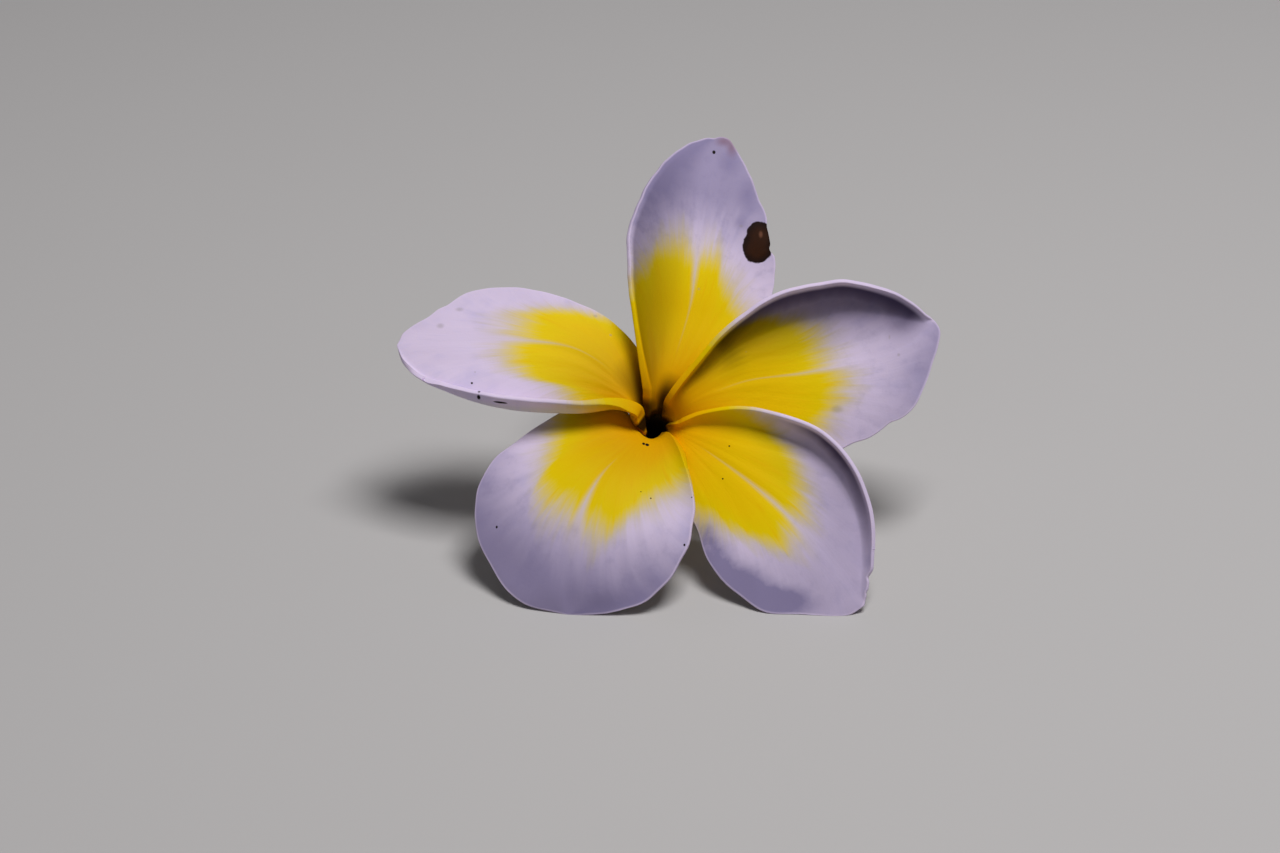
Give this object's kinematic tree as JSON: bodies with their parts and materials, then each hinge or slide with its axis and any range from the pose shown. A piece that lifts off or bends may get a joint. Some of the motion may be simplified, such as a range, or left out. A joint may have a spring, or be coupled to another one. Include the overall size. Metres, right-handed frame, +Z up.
{
  "type": "frangipani flower",
  "caption": "Fallen white frangipani bloom with a yellow heart, its petals overlapping like a pinwheel round a narrow throat, resting on its lower petals and slender tube.",
  "frame": {"origin": "middle of the bounding box, on the ground that the bloom rests on", "axes": "+Z up, the face of the bloom looks along -Y and upwards, +X to the right of someone looking at the face"},
  "size_m": [0.0764, 0.0536, 0.0473],
  "materials": {
    "petal": "satin",
    "tube": "satin",
    "anther": "matte"
  },
  "bodies": {
    "root": {"petal_top": "petal", "petal_right": "petal", "petal_lower_right": "petal", "petal_lower_left": "petal", "petal_left": "petal", "corolla_tube": "tube", "stamens": "anther"}
  },
  "joints": []
}
